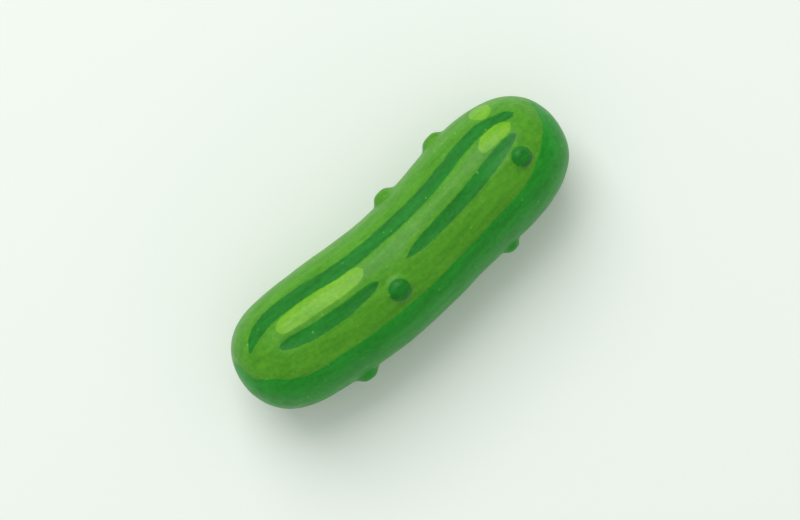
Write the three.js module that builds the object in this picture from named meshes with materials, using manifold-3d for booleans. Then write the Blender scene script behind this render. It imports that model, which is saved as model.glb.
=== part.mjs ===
// A small gherkin, as picked, lying on its side. Millimetres, +Z up.
// It grew as one piece, so it is one solid: a blunt round-ended body with a soft sideways bend,
// shallow lengthwise furrows, low warts, a scar at each tip and a slightly flattened belly.
//
// Places on the skin are given by two numbers. "along" is the distance from the middle towards
// the stem end at +X. "turn" is the angle round the body in degrees: 0 on top, 90 at the +Y side
// and 180 at the belly.
import * as THREE from "three";
import { mergeVertices } from "three/addons/utils/BufferGeometryUtils.js";
import Module from "manifold-3d";

// ---- Driving dimensions ----
const LENGTH = 60.4; // tip to tip, before the scars take a little off
const RADIUS = 0.1525 * LENGTH; // of the round section, before the waist and the swelling
const END_POWER = 7; // higher makes the ends blunter
const WAIST = { at: 0.025 * LENGTH, reach: 0.146 * LENGTH, share: -0.03 };
const SWELLING = { at: 0.305 * LENGTH, reach: 0.097 * LENGTH, share: 0.02 };
const BEND = {
  bottom: -0.025 * LENGTH, // where the bend is deepest, along the body
  blossomRise: 0.042 * LENGTH, // how far each half then comes back towards +Y
  stemRise: 0.027 * LENGTH,
  blossomReach: 0.333 * LENGTH, // and over what distance
  stemReach: 0.25 * LENGTH,
};
const BELLY_FLAT = 0.005 * LENGTH; // how much of the underside is flattened where it rests
const FURROW_DEPTH = 0.004 * LENGTH;
const SCAR = { depth: 0.005 * LENGTH, radius: 0.022 * LENGTH }; // where stem and blossom broke off
const WART = { width: 0.066 * LENGTH, height: 0.0195 * LENGTH };
const ROUND_STEPS = 64; // of the mesh, round the body
const LENGTH_STEPS = 52; // and along it

// ---- Furrows: where each starts and ends along the body, as shares of the length ----
const FURROWS = [
  { from: -0.44, to: 0.44, turn: 39, width: 0.032 },
  { from: -0.38, to: -0.08, turn: 2, width: 0.034 },
  { from: 0.0, to: 0.4, turn: 6, width: 0.036 },
  { from: -0.4, to: 0.1, turn: 112, width: 0.032 },
  { from: -0.1, to: 0.42, turn: 148, width: 0.034 },
  { from: -0.42, to: 0.3, turn: -68, width: 0.032 },
  { from: -0.3, to: 0.42, turn: -106, width: 0.034 },
  { from: -0.42, to: 0.2, turn: -146, width: 0.032 },
];

// ---- Warts: size is a share of the full wart ----
const WARTS = [
  { along: 0.057, turn: 90, size: 1 },
  { along: 0.236, turn: 90, size: 1.02 },
  { along: -0.253, turn: -90, size: 1 },
  { along: 0.212, turn: -90, size: 0.92 },
  { along: -0.058, turn: -14, size: 0.88 },
  { along: 0.373, turn: -9, size: 0.84 },
  { along: -0.34, turn: 128, size: 0.85 },
  { along: -0.13, turn: 138, size: 1 },
  { along: 0.15, turn: 126, size: 0.8 },
  { along: 0.35, turn: 134, size: 0.9 },
  { along: -0.39, turn: -130, size: 0.8 },
  { along: -0.08, turn: -125, size: 0.95 },
  { along: 0.07, turn: -140, size: 0.8 },
  { along: 0.34, turn: -128, size: 0.9 },
];

const wasm = await Module();
wasm.setup();

const radians = THREE.MathUtils.degToRad;
const bell = (distance, reach) => Math.exp(-((distance / reach) ** 2));

// Radius of the round section, before the furrows.
function radiusAt(along) {
  const share = Math.min(Math.abs(along) / (LENGTH / 2), 1);
  const blunt = Math.sqrt(1 - share ** END_POWER);
  const waist = WAIST.share * bell(along - WAIST.at, WAIST.reach);
  const swelling = SWELLING.share * bell(along - SWELLING.at, SWELLING.reach);
  return RADIUS * blunt * (1 + waist + swelling);
}

// How far the middle of the section stands towards +Y.
function bendAt(along) {
  const past = along - BEND.bottom;
  const rise = past > 0 ? BEND.stemRise : BEND.blossomRise;
  const reach = past > 0 ? BEND.stemReach : BEND.blossomReach;
  return rise * (1 - bell(past, reach));
}

// How deep the furrows are at a place on the skin.
function furrowAt(along, turn) {
  let depth = 0;
  for (const furrow of FURROWS) {
    const apart = THREE.MathUtils.euclideanModulo(turn - furrow.turn + 180, 360) - 180;
    const across = radians(apart) * RADIUS;
    const ends =
      THREE.MathUtils.smoothstep(along, furrow.from * LENGTH, (furrow.from + 0.08) * LENGTH) *
      THREE.MathUtils.smoothstep(-along, -furrow.to * LENGTH, (0.08 - furrow.to) * LENGTH);
    depth = Math.max(depth, FURROW_DEPTH * ends * bell(across, (furrow.width * LENGTH) / 2));
  }
  return depth;
}

// A point of the skin, with the middle of the body's section at the origin's height.
function skinPoint(along, turn) {
  const radius = radiusAt(along);
  const reach = radius - furrowAt(along, turn);
  const scar = SCAR.depth * bell(radius, SCAR.radius);
  return new THREE.Vector3(
    along - scar * Math.sign(along),
    bendAt(along) + reach * Math.sin(radians(turn)),
    reach * Math.cos(radians(turn)),
  );
}

// The way the skin faces, from two short steps along and round it.
function skinNormal(along, turn) {
  const step = 0.2;
  const lengthwise = skinPoint(along + step, turn).sub(skinPoint(along - step, turn));
  const round = skinPoint(along, turn + step).sub(skinPoint(along, turn - step));
  return lengthwise.cross(round).normalize();
}

// A closed three.js geometry as a solid that can be joined and cut.
function solidOf(geometry) {
  const plain = geometry.clone();
  plain.deleteAttribute("normal");
  plain.deleteAttribute("uv");
  const merged = mergeVertices(plain, 1e-4);
  return new wasm.Manifold(
    new wasm.Mesh({
      numProp: 3,
      vertProperties: merged.attributes.position.array,
      triVerts: new Uint32Array(merged.index.array),
    }),
  );
}

// The joined solid as a three.js geometry again.
function geometryOf(solid) {
  const mesh = solid.getMesh();
  const geometry = new THREE.BufferGeometry();
  geometry.setAttribute("position", new THREE.BufferAttribute(mesh.vertProperties, 3));
  geometry.setIndex(new THREE.BufferAttribute(mesh.triVerts, 1));
  return geometry;
}

// The body is turned on a lathe as a plain round-ended bar about Y. Each of its vertices is then
// carried to the place on the skin that has the same along and turn.
function bodyGeometry() {
  const profile = [];
  for (let step = 0; step <= LENGTH_STEPS; step++) {
    const along = (-LENGTH / 2) * Math.cos((Math.PI * step) / LENGTH_STEPS);
    profile.push(new THREE.Vector2(radiusAt(along), along));
  }
  const lathe = new THREE.LatheGeometry(profile, ROUND_STEPS);
  const places = lathe.attributes.position;
  for (let column = 0, i = 0; column <= ROUND_STEPS; column++) {
    const turn = (-360 * (column % ROUND_STEPS)) / ROUND_STEPS;
    for (const { y: along } of profile) {
      const point = skinPoint(along, turn);
      places.setXYZ(i++, point.x, point.y, point.z);
    }
  }
  return lathe;
}

// A wart is a squashed ball sunk into the skin, so that only its cap stands proud.
function wartGeometry({ along, turn, size }) {
  const sunk = 0.7 * WART.height * size;
  const ball = new THREE.SphereGeometry(1, 20, 12);
  ball.scale(0.55 * WART.width * size, 0.55 * WART.width * size, WART.height * size + sunk);
  const facing = skinNormal(along * LENGTH, turn);
  const upright = new THREE.Vector3(0, 0, 1);
  ball.applyQuaternion(new THREE.Quaternion().setFromUnitVectors(upright, facing));
  const centre = skinPoint(along * LENGTH, turn).addScaledVector(facing, -sunk);
  ball.translate(centre.x, centre.y, centre.z);
  return ball;
}

// The slab that takes off the lowest part of the body, where it lies on its belly.
function slabUnder(solid) {
  const lowest = solid.boundingBox().min[2];
  const thickness = 2 * BELLY_FLAT;
  const slab = new THREE.BoxGeometry(2 * LENGTH, LENGTH, thickness);
  slab.translate(0, 0, lowest + BELLY_FLAT - thickness / 2);
  return slab;
}

function gherkinGeometry() {
  let solid = solidOf(bodyGeometry());
  for (const wart of WARTS) solid = solid.add(solidOf(wartGeometry(wart)));
  solid = solid.subtract(solidOf(slabUnder(solid)));
  return geometryOf(solid);
}

const skin = new THREE.MeshStandardMaterial({ color: 0x559831, roughness: 0.42, metalness: 0 });
const gherkin = new THREE.Mesh(gherkinGeometry(), skin);
gherkin.name = "gherkin";

// The origin is the middle of the footprint, on the surface that the gherkin lies on.
gherkin.geometry.computeBoundingBox();
const { min, max } = gherkin.geometry.boundingBox;
gherkin.position.set(-(min.x + max.x) / 2, -(min.y + max.y) / 2, -min.z);

const part = new THREE.Group();
part.add(gherkin);

export default part;
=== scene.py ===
# %% [markdown]
# # A small gherkin, lying on its belly
#
# A gherkin is a young cucumber, picked before its seeds harden. The whole fruit grows as one
# piece: a blunt bar with a slight bend, a waxy skin, a few round warts, shallow furrows where the
# seed chambers meet, and a scar at each tip, one left by the stalk and one left by the flower.
#
# So there is one mesh to make and one skin to paint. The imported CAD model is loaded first. It
# says how long the gherkin is and where it lies. The new mesh takes its length, thickness and bend
# from that, and its marks are placed in millimetres from the middle of the fruit.

# %% Load the frame
import math

import bpy
import numpy as np
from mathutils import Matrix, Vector


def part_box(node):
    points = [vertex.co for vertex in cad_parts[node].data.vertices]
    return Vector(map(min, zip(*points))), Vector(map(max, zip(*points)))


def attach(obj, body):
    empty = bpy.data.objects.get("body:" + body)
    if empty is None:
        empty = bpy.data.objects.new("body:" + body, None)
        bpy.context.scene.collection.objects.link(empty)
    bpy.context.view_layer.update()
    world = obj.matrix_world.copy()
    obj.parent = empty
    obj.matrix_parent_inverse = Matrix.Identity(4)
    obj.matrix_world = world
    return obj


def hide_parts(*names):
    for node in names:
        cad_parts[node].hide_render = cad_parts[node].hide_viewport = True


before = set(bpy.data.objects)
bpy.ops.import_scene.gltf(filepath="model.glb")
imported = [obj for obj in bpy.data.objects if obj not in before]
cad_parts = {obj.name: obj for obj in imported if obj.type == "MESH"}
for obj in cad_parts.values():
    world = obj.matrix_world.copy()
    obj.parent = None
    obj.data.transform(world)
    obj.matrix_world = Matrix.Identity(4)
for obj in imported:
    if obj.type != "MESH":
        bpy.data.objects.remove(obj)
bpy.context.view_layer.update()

MM = 0.001
low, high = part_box("gherkin")
LENGTH = (high.x - low.x) / MM
print("the frame's gherkin is", [round(side / MM, 2) for side in high - low], "mm")

# %% [markdown]
# ## The outline of half the fruit
#
# On its own axis the fruit is round, so half of its outline says it all. A flattened ellipse
# (a power of 7 in place of 2) gives the blunt ends, and two soft bells give the faint waist
# near the middle and the fuller shoulder towards the stalk. A formula keeps the curve smooth,
# where points pushed about by hand would leave dents that a shiny skin shows at once.
#
# Lengths here are in millimetres along the fruit's axis, from the flower end at minus X to the
# stalk end at plus X.

# %% Outline
RADIUS = 0.1545 * LENGTH
END_POWER = 7
WAIST = {"share": -0.03, "at": 0.025 * LENGTH, "reach": 0.146 * LENGTH}
SHOULDER = {"share": 0.028, "at": 0.305 * LENGTH, "reach": 0.097 * LENGTH}
SCAR_RADIUS = 0.025 * LENGTH
TRIAL_POINTS = 4000


def bell(distance, reach):
    """1 at no distance, falling smoothly to 0.37 at the reach."""
    return np.exp(-((distance / reach) ** 2))


def change(where, along):
    """How much thicker a waist or shoulder makes the fruit, as a share of its radius."""
    return where["share"] * bell(along - where["at"], where["reach"])


def radius_at(along):
    """The radius of the straight fruit, in millimetres."""
    blunt = np.sqrt(np.clip(1 - np.abs(2 * along / LENGTH) ** END_POWER, 0, 1))
    return RADIUS * blunt * (1 + change(WAIST, along) + change(SHOULDER, along))


def outline(count):
    """Places at even steps along the outline, from one scar's edge to the other's."""
    along = -0.5 * LENGTH * np.cos(np.linspace(0, np.pi, TRIAL_POINTS))
    along = along[radius_at(along) > SCAR_RADIUS]
    steps = np.hypot(np.diff(along), np.diff(radius_at(along)))
    travelled = np.concatenate([[0], np.cumsum(steps)])
    along = np.interp(np.linspace(0, travelled[-1], count), travelled, along)
    return [Vector((x, 0, r)) * MM for x, r in zip(along, radius_at(along))]


ROUND_STEPS = 112
OUTLINE_STEPS = 150
places = outline(OUTLINE_STEPS)
step = (places[1] - places[0]).length / MM
print("outline of", len(places), "points,", round(step, 2), "mm apart")

# %% [markdown]
# ## Spinning the outline
#
# The body could be a stretched ball, but its faces would bunch up at the tips. Here one point is
# extruded along the outline and the line is spun round the axis, which spaces the faces evenly.
# The spin ends where it began, so its first and last rows are merged.

# %% Spin the body
SAME_PLACE = 0.01 * MM


def deselect_all():
    for thing in bpy.context.selected_objects:
        thing.select_set(False)


deselect_all()
bpy.ops.mesh.primitive_plane_add(size=MM)
gherkin = bpy.context.object
gherkin.name = gherkin.data.name = "gherkin_fruit"
bpy.ops.object.mode_set(mode="EDIT")
bpy.ops.mesh.select_all(action="SELECT")
bpy.ops.mesh.merge(type="CENTER")
bpy.ops.transform.translate(value=places[0])
for here, there in zip(places, places[1:]):
    bpy.ops.mesh.extrude_region_move(TRANSFORM_OT_translate={"value": there - here})
bpy.ops.mesh.select_all(action="SELECT")
bpy.ops.mesh.spin(steps=ROUND_STEPS, angle=math.tau, center=(0, 0, 0), axis=(1, 0, 0))
bpy.ops.mesh.select_all(action="SELECT")
bpy.ops.mesh.remove_doubles(threshold=SAME_PLACE)
bpy.ops.object.mode_set(mode="OBJECT")
print("spun", len(gherkin.data.polygons), "faces")

# %% [markdown]
# ## The scars
#
# The stalk breaks off the plus X tip and leaves a shallow round pit with a raised corky rim and
# a small knob in the middle, where the vessels ran. The flower leaves a flatter mark. Each open
# end is closed with a grid of square faces, since a fan of thin triangles would pinch the shine.
# The body is closed then, so its normals are recalculated, because a spin can come out inside
# out. Last, the grid is inset and pushed in, ring by ring.

# %% Close the tips and shape the scars


def select_where(wanted, kind="VERT"):
    """Selects the vertices or faces whose middle passes the test, and nothing else."""
    bpy.ops.object.mode_set(mode="EDIT")
    bpy.ops.mesh.select_mode(type=kind)
    bpy.ops.mesh.select_all(action="DESELECT")
    bpy.ops.object.mode_set(mode="OBJECT")
    if kind == "VERT":
        for vertex in gherkin.data.vertices:
            vertex.select = wanted(vertex.co)
    else:
        for face in gherkin.data.polygons:
            face.select = wanted(face.center)
    bpy.ops.object.mode_set(mode="EDIT")


def tip_of(side):
    """A test for what lies on the very tip of one side."""
    tip = max(side * v.co.x for v in gherkin.data.vertices)
    return lambda place: side * place.x > tip - SAME_PLACE


for side in (1, -1):
    select_where(tip_of(side))
    bpy.ops.mesh.fill_grid(span=ROUND_STEPS // 4)
    bpy.ops.object.mode_set(mode="OBJECT")
bpy.ops.object.mode_set(mode="EDIT")
bpy.ops.mesh.select_all(action="SELECT")
bpy.ops.mesh.normals_make_consistent(inside=False)
bpy.ops.object.mode_set(mode="OBJECT")

# Each ring of a scar is an inset and a move along the axis, in millimetres, outwards if positive.
STALK_SCAR = [(0.15, 0.03), (0.2, 0), (0.18, -0.28), (0.35, -0.08), (0.12, 0.16)]
FLOWER_SCAR = [(0.3, 0.02), (0.2, 0), (0.2, -0.14), (0.4, 0.08)]
for side, rings in ((1, STALK_SCAR), (-1, FLOWER_SCAR)):
    select_where(tip_of(side), "FACE")
    for inset, outwards in rings:
        bpy.ops.mesh.inset(thickness=inset * MM)
        bpy.ops.transform.translate(value=(side * outwards * MM, 0, 0))
    bpy.ops.object.mode_set(mode="OBJECT")
print("with its scars it has", len(gherkin.data.polygons), "faces")

# %% [markdown]
# ## Smoothing, and a memory of the straight fruit
#
# One level of subdivision rounds every ring and brings the faces down to a quarter of a
# millimetre, fine enough for the warts. Before anything is raised or bent, each point writes
# down where it is on the straight, smooth fruit, in millimetres. The skin is painted from that
# note, so its streaks follow the fruit through the bend.

# %% Subdivide and keep the straight places


def apply(kind, name, **settings):
    """Adds a modifier to the gherkin, sets it and applies it."""
    modifier = gherkin.modifiers.new(name, kind)
    for key, value in settings.items():
        setattr(modifier, key, value)
    bpy.ops.object.modifier_apply(modifier=modifier.name)


def points():
    """The gherkin's points as rows of x, y and z, in millimetres."""
    flat = np.zeros(3 * len(gherkin.data.vertices), np.float32)
    gherkin.data.vertices.foreach_get("co", flat)
    return flat.reshape(-1, 3) / MM


apply("SUBSURF", "round every ring", levels=1, render_levels=1)
straight = points()
note = gherkin.data.attributes.new("straight", "FLOAT_VECTOR", "POINT")
note.data.foreach_set("vector", straight.ravel())
print(len(straight), "points remember their straight places")

# %% [markdown]
# ## Where the marks are
#
# Every streak is drawn as if looking straight down on the fruit, rolled so that the streak is
# on top. A streak has a roll in degrees, a centre line and a half width, the last two as points
# of (along, millimetres). The three streaks and two pale patches with a roll of 0 are the ones on
# top; those two pale patches are painted highlights. The others carry the same pattern round the
# sides and under the belly. One flank is painted dark all over as painted shade, so its streaks
# are the lighter green instead.
#
# The same lines are used twice: first to press a shallow furrow under each streak, and again in
# the skin's colours.

# %% Streaks, pale patches and warts
STREAKS = {
    "long": {
        "roll": 0,
        "line": [(-26.4, 2.8), (-24.9, 4.2), (-23.4, 5.0), (-20.5, 5.8), (-17, 5.95), (-7.3, 5.45),
                 (0, 5.4), (7.3, 5.15), (13, 5.4), (17.2, 5.85), (20.2, 5.85), (22.1, 5.5),
                 (26, 4.1)],
        "half": [(-26.1, 0), (-25.8, 0.38), (-24.9, 0.76), (-23, 0.97), (-19, 1.02), (0, 0.98),
                 (14, 0.95), (20, 0.86), (24.7, 0.7), (25.4, 0.4), (25.75, 0)],
    },
    "near the stalk": {
        "roll": 0,
        "line": [(0, 0.5), (6, 0.5), (12, 0.48), (15, 0.65), (18, 1.0), (21, 1.4), (24.4, 1.9)],
        "half": [(0, 0), (1.5, 0.5), (3, 0.78), (6, 0.96), (10, 1.02), (17, 1.08), (20.7, 0.98),
                 (22.6, 0.68), (23.5, 0.35), (23.8, 0)],
    },
    "near the flower": {
        "roll": 0,
        "line": [(-22.5, 1.15), (-21.5, 1.0), (-19, 0.58), (-14.6, 0.22), (-11.7, 0.18),
                 (-8.5, 0.35), (-5, 0.55)],
        "half": [(-22.2, 0), (-21.9, 0.38), (-20.9, 0.75), (-18, 1.03), (-14.6, 1.09), (-9, 0.92),
                 (-6.6, 0.73), (-5.5, 0.4), (-5, 0)],
    },
}
SIDE_STREAK = {
    "line": [(-24, -0.6), (-16, 0.2), (-4, 0.5), (9, 0.1), (23, -0.7)],
    "half": [(-24.2, 0), (-22, 0.7), (-16, 1.0), (4, 1.05), (18, 0.9), (22.6, 0.5), (23.4, 0)],
}
SHORT_STREAK = {
    "line": [(-15, 0.3), (-6, -0.2), (5, -0.1), (14, 0.5)],
    "half": [(-15.2, 0), (-13.5, 0.6), (-7, 1.0), (4, 1.05), (11, 0.75), (14, 0)],
}
STREAKS["far side, high"] = {"roll": 112, **SIDE_STREAK}
STREAKS["far side, low"] = {"roll": 143, **SHORT_STREAK}
STREAKS["belly"] = {"roll": 170, **SIDE_STREAK}

FLANK_STREAKS = {
    "middle": {"roll": -106, **SIDE_STREAK},
    "low": {"roll": -137, **SHORT_STREAK},
}

# Pale patches: the two with a roll of 0, on the lamp's side of the top, are painted highlights;
# the far side one is a paler patch of skin.
HIGHLIGHTS_AND_PALE_PATCHES = {
    "near the flower": {
        "roll": 0,
        "line": [(-21, 3.36), (-18, 3.52), (-14.6, 3.5), (-8.8, 3.28), (-5.8, 3.36)],
        "half": [(-21.1, 0), (-20.7, 0.7), (-19.8, 1.1), (-18, 1.32), (-14, 1.36), (-8.8, 1.2),
                 (-7, 1.05), (-6.1, 0.65), (-5.7, 0)],
    },
    "near the stalk": {
        "roll": 0,
        "line": [(18.4, 3.4), (20.2, 3.7), (21.7, 3.66), (24.3, 3.4)],
        "half": [(18.3, 0), (18.6, 0.6), (19.4, 0.98), (20.9, 1.14), (22.5, 1.1), (23.5, 0.85),
                 (24.3, 0)],
    },
    "far side": {
        "roll": 127,
        "line": [(-20, 0.2), (-10, 0), (2, 0.1)],
        "half": [(-20, 0), (-19, 0.8), (-16, 1.15), (-4, 1.1), (0.8, 0.8), (2, 0)],
    },
}

WART_RADIUS = 1.95
WART_HEIGHT = 1.17
# Each wart's place along the fruit, its turn round the fruit from the top, and its share of a
# full wart's size. The first four stand out at the two sides.
WARTS = [
    (4.3, 90, 1.0), (15.05, 90, 0.88), (-14.2, -90, 0.92), (12.05, -90, 0.78),
    (-3.5, -14.3, 0.88), (22.0, -8.0, 0.8),
    (-20.4, 128, 0.85), (-7.8, 138, 1.0), (9.1, 126, 0.8), (21, 134, 0.9),
    (-23.4, -130, 0.8), (-4.8, -125, 0.95), (4.2, -140, 0.8), (20.4, -128, 0.9),
]


def skin_place(along, turn):
    """The place on the straight, smooth fruit, in millimetres."""
    radius = radius_at(np.array(along))
    angle = math.radians(turn)
    return np.array([along, radius * math.sin(angle), radius * math.cos(angle)])


print(len(STREAKS), "dark and", len(FLANK_STREAKS), "green streaks")
print(len(HIGHLIGHTS_AND_PALE_PATCHES), "long pale patches and", len(WARTS), "warts")

# %% [markdown]
# ## Furrows and warts
#
# Both are raised or pressed by a Displace modifier that reads a vertex group: a weight of 1
# moves a point the full height along its normal. Painting the weights with a formula gives each
# wart the same steep side, rounded top and soft foot, and makes them easy to move. Sculpting by
# hand would do as well, but not twice alike.

# %% Press the furrows
FAINTEST = 0.002
FURROW_DEPTH = 0.22
FURROW_BANK = 0.35  # how far each side slopes on past the streak, in millimetres


def displace(name, weights, height):
    """Moves the skin along its normals by height, in millimetres, times the weight."""
    group = gherkin.vertex_groups.new(name=name)
    moved = np.flatnonzero(weights > FAINTEST)
    for index in moved:
        group.add([int(index)], float(weights[index]), "REPLACE")
    apply("DISPLACE", name, vertex_group=group.name, strength=height * MM, mid_level=0)
    print(name, "move", len(moved), "points by up to", height, "mm")


furrows = np.zeros(len(straight))
for streak in [*STREAKS.values(), *FLANK_STREAKS.values()]:
    roll = math.radians(streak["roll"])
    across = straight[:, 1] * math.cos(roll) - straight[:, 2] * math.sin(roll)
    upwards = straight[:, 1] * math.sin(roll) + straight[:, 2] * math.cos(roll)
    middle = np.interp(straight[:, 0], *zip(*streak["line"]))
    half = np.interp(straight[:, 0], *zip(*streak["half"]))
    valley = bell(across - middle, FURROW_BANK + half) * np.clip(half, 0, 1)
    furrows = np.maximum(furrows, valley * (upwards > 0))
displace("furrows", furrows, -FURROW_DEPTH)

# %% Raise the warts
# A dome falls a little from its middle outwards, then steeply round its foot.
DOME_CROWN = 0.2
DOME_FOOT = 0.97
DOME_STEEPNESS = 4.5

domes = np.zeros(len(straight))
for along, turn, size in WARTS:
    away = np.linalg.norm(straight - skin_place(along, turn), axis=1) / (WART_RADIUS * size)
    dome = (1 - DOME_CROWN * away**2) * np.exp(-((away / DOME_FOOT) ** DOME_STEEPNESS))
    domes = np.maximum(domes, size * np.clip(dome, 0, 1))
displace("warts", domes, WART_HEIGHT)

# %% [markdown]
# ## Small unevenness
#
# No fruit is as true as a lathe makes it. Two Displace modifiers with a cloud texture add slow
# swellings about a centimetre across and small lumps of three millimetres. Both are low, under a
# fifth of a millimetre up or down, and only show as the light bends over them.

# %% Swellings and lumps
SWELLINGS = {"width": 11, "height": 0.34}
LUMPS = {"width": 3.2, "height": 0.1}


def ruffle(name, width, height):
    """Moves the skin up and down by half the height, in waves of the width, in millimetres."""
    clouds = bpy.data.textures.new(name, "CLOUDS")
    clouds.noise_scale = width * MM
    clouds.noise_depth = 1
    apply("DISPLACE", name, texture=clouds, texture_coords="LOCAL",
          strength=height * MM, mid_level=0.5)
    print(name, "move the skin by up to", height / 2, "mm")


ruffle("swellings", **SWELLINGS)
ruffle("lumps", **LUMPS)

# %% [markdown]
# ## The bend
#
# A gherkin grows a little faster on one side and so bends away from it. The bend is deepest just
# short of the middle, rises to both sides and levels out at the tips, which is an upturned bell.
# Each half has its own rise and its own reach, both shares of the length.
#
# A Curve modifier carries the straight fruit along that line. It turns each slice to face along
# the curve, as growth does, where sliding the slices sideways would thin the fruit on its slopes.

# %% Bend along a curve
BEND_DEEPEST = -0.025 * LENGTH
FLOWER_HALF = {"rise": 0.052 * LENGTH, "reach": 0.36 * LENGTH}
STALK_HALF = {"rise": 0.027 * LENGTH, "reach": 0.25 * LENGTH}
GUIDE_POINTS = 9
GUIDE_STEPS = 64  # straight steps from one guide point to the next


def bend_at(along):
    """How far the fruit's axis stands to the side, in millimetres, from where it is deepest."""
    half = STALK_HALF if along > BEND_DEEPEST else FLOWER_HALF
    return half["rise"] * (1 - bell(along - BEND_DEEPEST, half["reach"]))


deselect_all()
bpy.ops.curve.primitive_bezier_curve_add()
guide = bpy.context.object
guide.data.twist_mode = "Z_UP"
guide.data.resolution_u = GUIDE_STEPS
spline = guide.data.splines[0]
spline.bezier_points.add(GUIDE_POINTS - len(spline.bezier_points))
for point, along in zip(spline.bezier_points, np.linspace(-LENGTH / 2, LENGTH / 2, GUIDE_POINTS)):
    point.co = Vector((along, bend_at(along), 0)) * MM
    point.handle_left_type = point.handle_right_type = "AUTO"
bpy.context.view_layer.update()

deselect_all()
bpy.context.view_layer.objects.active = gherkin
gherkin.select_set(True)
bpy.ops.object.mode_set(mode="EDIT")
bpy.ops.mesh.select_all(action="SELECT")
bpy.ops.transform.translate(value=(LENGTH / 2 * MM, 0, 0))
bpy.ops.object.mode_set(mode="OBJECT")
apply("CURVE", "bend", object=guide, deform_axis="POS_X")
bpy.data.objects.remove(guide)
print("bent, it spans", [round(float(side), 2) for side in np.ptp(points(), axis=0)], "mm")

# %% [markdown]
# ## Laid on its belly
#
# The fruit is soft enough to press flat where it rests. It is moved to the middle of the frame's
# box and a little below the floor, and what is below is squeezed flat onto it. A few rounds of
# smoothing take the crease off the edge of the flat.

# %% Place and press
BELLY_PRESS = 0.3
SOFTENED_HEIGHT = 0.6
SMOOTHING_ROUNDS = 6

bottom, top = points().min(axis=0) * MM, points().max(axis=0) * MM
shift = Vector((low.x + high.x - bottom[0] - top[0], low.y + high.y - bottom[1] - top[1], 0)) / 2
shift.z = low.z - BELLY_PRESS * MM - bottom[2]
bpy.ops.object.mode_set(mode="EDIT")
bpy.ops.mesh.select_all(action="SELECT")
bpy.ops.transform.translate(value=shift)
bpy.ops.object.mode_set(mode="OBJECT")
select_where(lambda place: place.z < low.z)
bpy.ops.transform.resize(value=(1, 1, 0), center_override=(0, 0, low.z))
bpy.ops.object.mode_set(mode="OBJECT")
rest = gherkin.vertex_groups.new(name="rest")
lowest = [v.index for v in gherkin.data.vertices if v.co.z < low.z + SOFTENED_HEIGHT * MM]
rest.add(lowest, 1, "REPLACE")
apply("SMOOTH", "soften the press", vertex_group="rest", factor=0.5, iterations=SMOOTHING_ROUNDS)
bpy.ops.object.shade_smooth()
print("it lies from", points().min(axis=0).round(2), "to", points().max(axis=0).round(2), "mm")

# %% [markdown]
# # The skin
#
# The skin is a tough green layer under a thin coat of natural wax, so it has a soft shine over
# a little light that goes in and comes out again. Its greens are painted in steps, each a mask
# that mixes one more colour in: the mid green ground, the darker flank of painted shade with its
# green streaks, the dark streaks, the pale patches, which on top are painted highlights, and the
# dark warts.
#
# Two helpers come first. Colours are written as they look on a screen and turned to the linear
# values that the shader works in. One function adds any node, sets it and links its inputs.

# %% Helpers for nodes


def linear(code):
    """A colour such as "#558833" as the linear numbers that a shader socket takes."""
    screen = [int(code[i:i + 2], 16) / 255 for i in (1, 3, 5)]
    return [c / 12.92 if c <= 0.04045 else ((c + 0.055) / 1.055) ** 2.4 for c in screen] + [1]


def add(kind, settings, inputs):
    """Adds a node to the tree in hand. A node given as an input is linked by its first output.

    Inputs are named by their labels, or by number where a node's labels are all alike.
    """
    made = tree.nodes.new("ShaderNode" + kind)
    for name, value in settings.items():
        setattr(made, name, value)
    for name, value in inputs.items():
        named = (s for s in made.inputs if s.enabled and s.name == name)
        socket = made.inputs[name] if isinstance(name, int) else next(named)
        if isinstance(value, bpy.types.Node):
            value = next(s for s in value.outputs if s.enabled)
        if isinstance(value, bpy.types.NodeSocket):
            tree.links.new(value, socket)
        else:
            socket.default_value = value
    return made


skin = bpy.data.materials.new("waxy gherkin skin")
skin.use_nodes = True
tree = skin.node_tree
tree.nodes.clear()
print("made", skin.name)

# %% [markdown]
# ## Painting by place
#
# The straight places written down earlier come back as a vector in millimetres. A little noise
# is added to them so that no edge is ruled: the real colours creep past each other by about a
# tenth of a millimetre.

# %% Straight places, with a wobble
EDGE_WOBBLE = 0.28
EDGE_SOFTNESS = 0.13
WOBBLE_SPACING = 1.25

place = add("Attribute", {"attribute_name": "straight"}, {}).outputs["Vector"]
wander = add("TexNoise", {}, {"Vector": place, "Scale": 1 / WOBBLE_SPACING, "Detail": 3.0,
                              "Roughness": 0.6})
centred = add("VectorMath", {"operation": "SUBTRACT"},
              {0: wander.outputs["Color"], 1: (0.5, 0.5, 0.5)})
nudge = add("VectorMath", {"operation": "SCALE"}, {"Vector": centred, "Scale": EDGE_WOBBLE})
wobbly = add("VectorMath", {"operation": "ADD"}, {0: place, 1: nudge})
split = add("SeparateXYZ", {}, {"Vector": wobbly})
print("edges wander by up to", EDGE_WOBBLE / 2, "mm")

# %% [markdown]
# ## A curve node as a ruler
#
# A Float Curve node can hold any line drawn along the fruit: put in the place along the fruit
# and it gives the place across. Two of them, one for a streak's centre line and one for its half
# width, are enough to say how far inside the streak a point is.

# %% Masks for streaks


def curve_along(spots):
    """The height at each place along the fruit of a smooth line through the spots."""
    drawn = add("FloatCurve", {}, {"Value": split.outputs["X"]})
    drawn.mapping.use_clip = False
    line = drawn.mapping.curves[0]
    while len(line.points) < len(spots):
        line.points.new(0, 0)
    for point, spot in zip(line.points, sorted(spots)):
        point.location = spot
        point.handle_type = "AUTO_CLAMPED"
    drawn.mapping.update()
    return drawn


def inside(depth):
    """A mask: 1 where the depth inside a mark is above zero, with a soft edge."""
    return add("MapRange", {"interpolation_type": "SMOOTHSTEP"},
               {"Value": depth, "From Min": -EDGE_SOFTNESS, "From Max": EDGE_SOFTNESS})


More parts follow.
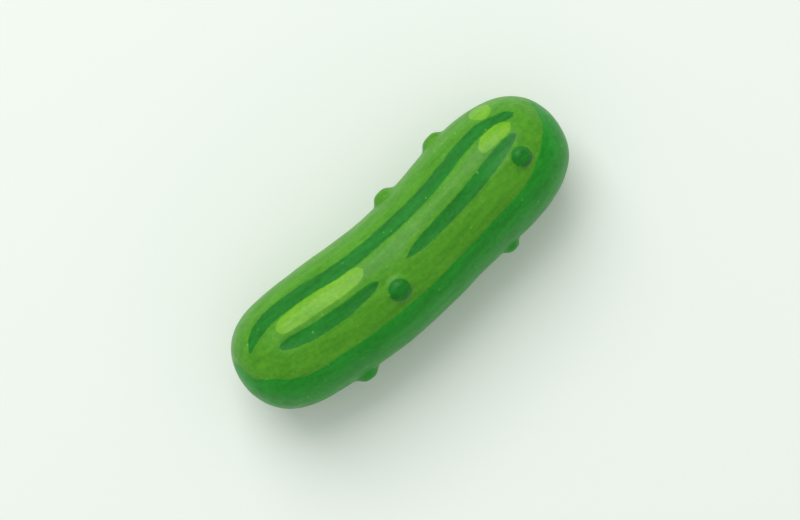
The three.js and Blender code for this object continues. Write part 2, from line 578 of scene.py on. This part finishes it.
def streak_mask(streak):
    """A mask for a streak or long patch, on the half of the fruit that it is drawn on."""
    roll = math.radians(streak["roll"])
    sideways = (0, math.cos(roll), -math.sin(roll))
    upwards = (0, math.sin(roll), math.cos(roll))
    across = add("VectorMath", {"operation": "DOT_PRODUCT"}, {0: wobbly, 1: sideways})
    height = add("VectorMath", {"operation": "DOT_PRODUCT"}, {0: wobbly, 1: upwards})
    aside = add("Math", {"operation": "SUBTRACT"}, {0: across, 1: curve_along(streak["line"])})
    apart = add("Math", {"operation": "ABSOLUTE"}, {0: aside})
    depth = add("Math", {"operation": "SUBTRACT"}, {0: curve_along(streak["half"]), 1: apart})
    return inside(add("Math", {"operation": "MINIMUM"}, {0: depth, 1: height}))


def either(masks):
    """The strongest of several masks."""
    together = masks[0]
    for mask in masks[1:]:
        together = add("Math", {"operation": "MAXIMUM"}, {0: together, 1: mask})
    return together


dark_streaks = either([streak_mask(streak) for streak in STREAKS.values()])
flank_streaks = either([streak_mask(streak) for streak in FLANK_STREAKS.values()])
long_highlights_and_patches = [streak_mask(patch) for patch in HIGHLIGHTS_AND_PALE_PATCHES.values()]
print("the tree has", len(tree.nodes), "nodes")

# %% [markdown]
# ## The dark flank, painted shade
#
# One side of the fruit, the one away from the lamp, is painted a darker green as painted shade,
# which reaches round both tips. Seen from above, its edge runs nearly straight along the flank and
# sweeps across at each end, so one more curve says it.

# %% Mask for the painted shade on the flank
# Painted shade: where the darker green on the flank away from the lamp begins, in mm along and
# across.
PAINTED_SHADE_EDGE = [(-30, 10), (-29, 4.2), (-28.2, 2.0), (-27.8, 0.0), (-25.6, -1.75), (-22.7, -3.65),
              (-19, -4.6), (0, -4.85), (13, -4.9), (18.7, -4.7), (22.4, -3.6), (25.2, -2.0),
              (27.3, -0.2), (28.3, 2.0), (28.9, 5), (30, 10)]

into_painted_shade = add("Math", {"operation": "SUBTRACT"},
                {0: curve_along(PAINTED_SHADE_EDGE), 1: split.outputs["Y"]})
painted_shade_flank = inside(into_painted_shade)
print("the dark flank starts", -dict(PAINTED_SHADE_EDGE)[0], "mm off the middle")

# %% [markdown]
# ## Round marks
#
# All but the four warts at the sides have dark caps, and near the stalk there is one more pale
# patch, an oval painted highlight. A round mark is all that lies within some distance of its
# middle, measured on the straight fruit. Stretching space first makes the oval.

# %% Masks for warts and the oval painted highlight
CAP_SHARE = 0.95
CAPPED_WARTS = WARTS[4:]


def round_mask(middle, radius, stretched=None):
    """A mask for all that lies within the radius of the middle, in millimetres."""
    away = add("VectorMath", {"operation": "DISTANCE"}, {0: stretched or wobbly, 1: tuple(middle)})
    return inside(add("Math", {"operation": "SUBTRACT"}, {0: float(radius), 1: away}))


dark_caps = either([
    round_mask(skin_place(along, turn), CAP_SHARE * size * WART_RADIUS)
    for along, turn, size in CAPPED_WARTS
])

# Painted highlight: an oval pale patch near the stalk, on the lamp's side.
OVAL_HIGHLIGHT = {"along": 22.4, "turn": 61, "radius": 1.95, "stretch": (1.2, 0.9, 0.9)}
oval_highlight_place = skin_place(OVAL_HIGHLIGHT["along"], OVAL_HIGHLIGHT["turn"]) * OVAL_HIGHLIGHT["stretch"]
squeezed = add("VectorMath", {"operation": "MULTIPLY"}, {0: wobbly, 1: OVAL_HIGHLIGHT["stretch"]})
highlights_and_pale_patches = either(long_highlights_and_patches + [round_mask(oval_highlight_place, OVAL_HIGHLIGHT["radius"], squeezed)])
print("the tree has", len(tree.nodes), "nodes")

# %% [markdown]
# ## Mixing the greens
#
# Each green is itself uneven, and has a darker and a lighter shade. Chlorophyll thins out in
# threads that run lengthwise, so a noise stretched along the fruit mixes the two. A fine grain,
# under a millimetre, breaks the threads up. The masks then lay the greens over each other. The
# flank's streaks are the ground green again, laid over the flank's painted shade.

# %% Greens
GROUND = ("#3D840F", "#539A1E")
# Painted shade: the darker green painted on the flank away from the lamp.
PAINTED_SHADE_GREEN = ("#097C10", "#1C9420")
STREAK = ("#07660D", "#147F1B")
# Pale green: painted highlights on top, a paler patch of skin on the far side.
HIGHLIGHT_AND_PATCH_GREEN = ("#5C9E10", "#78B41F")

THREAD_SQUEEZE = 0.16  # lengthwise, which draws each thread out to six times its width
THREADS_PER_MM = 0.9
GRAIN_SPACING = 0.7
GRAIN_SHARE = 0.4
DARKEST, LIGHTEST = 0.38, 0.62  # of the noise, where a green is all its first or second shade

threads = add("Mapping", {"vector_type": "POINT"},
              {"Vector": place, "Scale": (THREAD_SQUEEZE, 1.0, 1.0)})
mottle = add("TexNoise", {}, {"Vector": threads, "Scale": THREADS_PER_MM, "Detail": 5.0,
                              "Roughness": 0.65})
grain = add("TexNoise", {}, {"Vector": place, "Scale": 1 / GRAIN_SPACING, "Detail": 3.0,
                             "Roughness": 0.7})
uneven = add("Mix", {"data_type": "FLOAT"}, {"Factor": GRAIN_SHARE, "A": mottle, "B": grain})
patchy = add("MapRange", {}, {"Value": uneven, "From Min": DARKEST, "From Max": LIGHTEST})


def blend(amount, under, over):
    """One colour over another."""
    return add("Mix", {"data_type": "RGBA"}, {"Factor": amount, "A": under, "B": over})


def green(shades):
    """An uneven mix of a darker and a lighter shade."""
    return blend(patchy, linear(shades[0]), linear(shades[1]))


ground = green(GROUND)
# Painted shade over the flank away from the lamp.
colour = blend(painted_shade_flank, ground, green(PAINTED_SHADE_GREEN))
colour = blend(flank_streaks, colour, ground)
colour = blend(dark_streaks, colour, green(STREAK))
# Painted highlights on top, and a paler patch of skin on the far side.
colour = blend(highlights_and_pale_patches, colour, green(HIGHLIGHT_AND_PATCH_GREEN))
colour = blend(dark_caps, colour, green(STREAK))
print("greens mixed with", len(tree.nodes), "nodes so far")

# %% [markdown]
# ## Freckles
#
# Close to, the skin is dusted with pale breathing pores, a quarter of a millimetre across and
# about one and a half apart. A Voronoi texture scatters points evenly and gives the distance to
# the nearest. The threads' noise thins the freckles out in places.

# %% Freckles
FRECKLE_SPACING = 1.5
FRECKLE_RADIUS = 0.14
FRECKLE_FADE = (1.7, 0.5)  # from no colour to full colour, as shares of the radius
FRECKLE_STRENGTH = 0.38
FRECKLE = "#9CCB63"
THINNED = (0.45, 0.6)  # of the threads' noise, where there are none and where there are all

scatter = add("TexVoronoi", {"feature": "F1"},
              {"Vector": place, "Scale": 1 / FRECKLE_SPACING, "Randomness": 1.0})
near = add("Math", {"operation": "MULTIPLY"}, {0: scatter.outputs["Distance"], 1: FRECKLE_SPACING})
dots = add("MapRange", {"interpolation_type": "SMOOTHSTEP"},
           {"Value": near, "From Min": FRECKLE_FADE[0] * FRECKLE_RADIUS,
            "From Max": FRECKLE_FADE[1] * FRECKLE_RADIUS})
thinned = add("MapRange", {}, {"Value": mottle, "From Min": THINNED[0], "From Max": THINNED[1],
                               "To Max": FRECKLE_STRENGTH})
freckles = add("Math", {"operation": "MULTIPLY"}, {0: dots, 1: thinned})
colour = blend(freckles, colour, linear(FRECKLE))
print("freckles every", FRECKLE_SPACING, "mm")

# %% [markdown]
# ## The belly
#
# Where the fruit lay on the ground it saw no sun, so its belly is a paler, yellower green with a
# ragged edge. It starts some millimetres below the fruit's axis and fades in from there.

# %% Belly
BELLY = "#7FA53C"
BELLY_DEPTH = 5.5
BELLY_FADE = 4
BELLY_STRENGTH = 0.6
RAGGED_SPACING = 2
RAGGED_REACH = 3.0

sunless = add("TexNoise", {}, {"Vector": threads, "Scale": 1 / RAGGED_SPACING, "Detail": 6.0,
                               "Roughness": 0.7})
ragged = add("MapRange", {}, {"Value": sunless, "To Min": -RAGGED_REACH, "To Max": RAGGED_REACH})
under = add("Math", {"operation": "SUBTRACT"}, {0: ragged, 1: split.outputs["Z"]})
belly = add("MapRange", {"interpolation_type": "SMOOTHSTEP"},
            {"Value": under, "From Min": BELLY_DEPTH, "From Max": BELLY_DEPTH + BELLY_FADE,
             "To Max": BELLY_STRENGTH})
colour = blend(belly, colour, linear(BELLY))
print("the belly pales from", BELLY_DEPTH, "mm below the axis")

# %% [markdown]
# ## The scars' cork
#
# The scars at the tips are dry cork: brown, darker in the pit, and later made quite matt. They
# are all that lies near enough to the fruit's axis on the last stretch of each tip. A noise finer
# than half a millimetre frays their edge, where skin and cork have grown into each other.

# %% Cork
SCAR_START = 0.488 * LENGTH
SCAR_FRAY = 1.1
CRUMBS_PER_MM = 2.6
CORK = {"pit": "#54472A", "rim": "#8F8A4C"}
CORK_FADE = (0.75, 0.1)  # from pit to rim, in from the scar's edge, as shares of its radius

off_axis = add("VectorMath", {"operation": "MULTIPLY"}, {0: wobbly, 1: (0, 1, 1)})
spread = add("VectorMath", {"operation": "LENGTH"}, {0: off_axis})
outwards = add("Math", {"operation": "ABSOLUTE"}, {0: split.outputs["X"]})
past_flesh = add("Math", {"operation": "GREATER_THAN"}, {0: outwards, 1: SCAR_START})
crumbs = add("TexNoise", {}, {"Vector": place, "Scale": CRUMBS_PER_MM, "Detail": 4.0,
                              "Roughness": 0.75})
frayed = add("Math", {"operation": "MULTIPLY_ADD"}, {0: crumbs, 1: SCAR_FRAY, 2: spread})
depth = add("Math", {"operation": "SUBTRACT"}, {0: SCAR_RADIUS + 0.5 * SCAR_FRAY, 1: frayed})
scars = add("Math", {"operation": "MULTIPLY"}, {0: inside(depth), 1: past_flesh})
towards_rim = add("MapRange", {}, {"Value": depth, "From Min": CORK_FADE[0] * SCAR_RADIUS,
                                   "From Max": CORK_FADE[1] * SCAR_RADIUS})
cork = blend(towards_rim, linear(CORK["pit"]), linear(CORK["rim"]))
colour = blend(scars, colour, cork)
print("cork from", round(SCAR_START, 1), "mm along, within about", round(SCAR_RADIUS, 1), "mm")

# %% [markdown]
# ## Shine and fine relief
#
# Natural wax is a satin, neither wet nor chalky, so the roughness is near 0.4 and wanders a
# little, as the wax lies unevenly. The pale patches, which on top are painted highlights, are a
# touch smoother and the cork is matt.
# Wax bends light about as oils do (IOR 1.45), and its bloom dulls the mirror part of the shine, so
# the specular level is under the usual 0.5. Green light goes deepest into the flesh below. The
# skin also has pores half a millimetre apart, drawn as low bumps.

# %% Shader
ROUGHNESS = (0.33, 0.45)
PALE_SMOOTHER = 0.04
CORK_ROUGHER = 0.35
WAX_PATCHES_PER_MM = 0.35
WAX_RANGE = (0.3, 0.7)  # of the noise, where the wax is at its shiniest and at its dullest
PORE_SPACING = 0.55
PORE_DEPTH = 0.03
PORE_STRENGTH = 0.5

bloom = add("TexNoise", {}, {"Vector": place, "Scale": WAX_PATCHES_PER_MM, "Detail": 4.0})
waxy = add("MapRange", {}, {"Value": bloom, "From Min": WAX_RANGE[0], "From Max": WAX_RANGE[1],
                            "To Min": ROUGHNESS[0], "To Max": ROUGHNESS[1]})
thinner = add("Math", {"operation": "MULTIPLY"}, {0: highlights_and_pale_patches, 1: PALE_SMOOTHER})
shiny = add("Math", {"operation": "SUBTRACT"}, {0: waxy, 1: thinner})
dry = add("Math", {"operation": "MULTIPLY"}, {0: scars, 1: CORK_ROUGHER})
roughness = add("Math", {"operation": "ADD"}, {0: shiny, 1: dry})
pores = add("TexNoise", {}, {"Vector": place, "Scale": 1 / PORE_SPACING, "Detail": 2.0})
relief = add("Bump", {}, {"Height": pores, "Strength": PORE_STRENGTH,
                          "Distance": PORE_DEPTH * MM})

shader = add("BsdfPrincipled", {}, {
    "Base Color": colour,
    "Roughness": roughness,
    "Normal": relief,
    "IOR": 1.45,
    "Specular IOR Level": 0.3,
    "Subsurface Weight": 0.08,
    "Subsurface Radius": (0.6, 1.0, 0.3),
    "Subsurface Scale": 0.6 * MM,
})
add("OutputMaterial", {}, {"Surface": shader})
gherkin.data.materials.clear()
gherkin.data.materials.append(skin)
print(skin.name, "has", len(tree.nodes), "nodes")

# %% [markdown]
# # Floor, light and camera
#
# The gherkin lies on a plain pale floor, matt so that it mirrors nothing. It is six metres wide,
# so that its edge is out of sight from low down too.

# %% Floor
FLOOR_SIZE = 6
FLOOR_COLOUR = "#EDF1EC"
FLOOR_ROUGHNESS = 0.9

deselect_all()
bpy.ops.mesh.primitive_plane_add(size=FLOOR_SIZE, location=(0, 0, low.z))
floor = bpy.context.object
floor.name = "floor"
matte = bpy.data.materials.new("pale matte paint")
matte.use_nodes = True
tree = matte.node_tree
paint = tree.nodes["Principled BSDF"]
paint.inputs["Base Color"].default_value = linear(FLOOR_COLOUR)
paint.inputs["Roughness"].default_value = FLOOR_ROUGHNESS
floor.data.materials.append(matte)
print("the floor is at", round(low.z / MM, 3), "mm")

# %% [markdown]
# ## Light
#
# A nearly white surround lights the gherkin from all round, so its greens stay even up to the
# edge. One large soft lamp, high on the hollow side and a little towards the stalk, gives the
# gentle shine along its back and a soft shadow on the other side. Small lamps would light it as
# well, but with hard white spots.

# %% Light
SURROUND = {"colour": "#F4FAF4", "strength": 0.65}

world = bpy.data.worlds.new("white surround")
bpy.context.scene.world = world
world.use_nodes = True
surround = world.node_tree.nodes["Background"]
surround.inputs["Color"].default_value = linear(SURROUND["colour"])
surround.inputs["Strength"].default_value = SURROUND["strength"]


def lamp(name, towards, distance, size, power):
    """A square soft lamp that faces the gherkin from some way off, in metres and watts."""
    light = bpy.data.lights.new(name, "AREA")
    light.shape = "SQUARE"
    light.size = size
    light.energy = power
    holder = bpy.data.objects.new(name, light)
    bpy.context.scene.collection.objects.link(holder)
    direction = Vector(towards).normalized()
    holder.location = direction * distance
    holder.rotation_euler = direction.to_track_quat("Z", "Y").to_euler()


lamp("soft key", towards=(0.2, 0.75, 0.92), distance=1.2, size=0.9, power=9.6)
print("lit by the surround and a lamp")

# %% [markdown]
# ## Camera
#
# The gherkin is seen from straight above, its stalk end up and to the right. A long lens keeps
# the top of the fruit from looking larger than its sides. The camera is rolled, and the fruit
# stays along the X axis. The camera stands a hair towards the flower end and the dark flank.

# %% Camera
LENS = 100
SENSOR = 36
PICTURE_WIDTH = 1.95 * LENGTH
ROLL = -42
CAMERA_X = -0.0115 * LENGTH
CAMERA_Y = -0.0045 * LENGTH
NEAREST_SEEN = 0.01

camera = bpy.data.objects.new("camera", bpy.data.cameras.new("camera"))
bpy.context.scene.collection.objects.link(camera)
camera.data.lens = LENS
camera.data.sensor_width = SENSOR
camera.data.clip_start = NEAREST_SEEN
distance = PICTURE_WIDTH * MM * LENS / SENSOR
camera.location = (CAMERA_X * MM, CAMERA_Y * MM, (low.z + high.z) / 2 + distance)
camera.rotation_euler = (0, 0, math.radians(ROLL))
bpy.context.scene.camera = camera
bpy.context.scene.view_settings.view_transform = "Standard"
print("the camera is", round(camera.location.z, 3), "m up")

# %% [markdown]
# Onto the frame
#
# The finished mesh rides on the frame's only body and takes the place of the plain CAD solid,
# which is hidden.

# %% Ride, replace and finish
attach(gherkin, "root")
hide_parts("gherkin")
print("triangles:", sum(len(face.vertices) - 2 for face in gherkin.data.polygons))
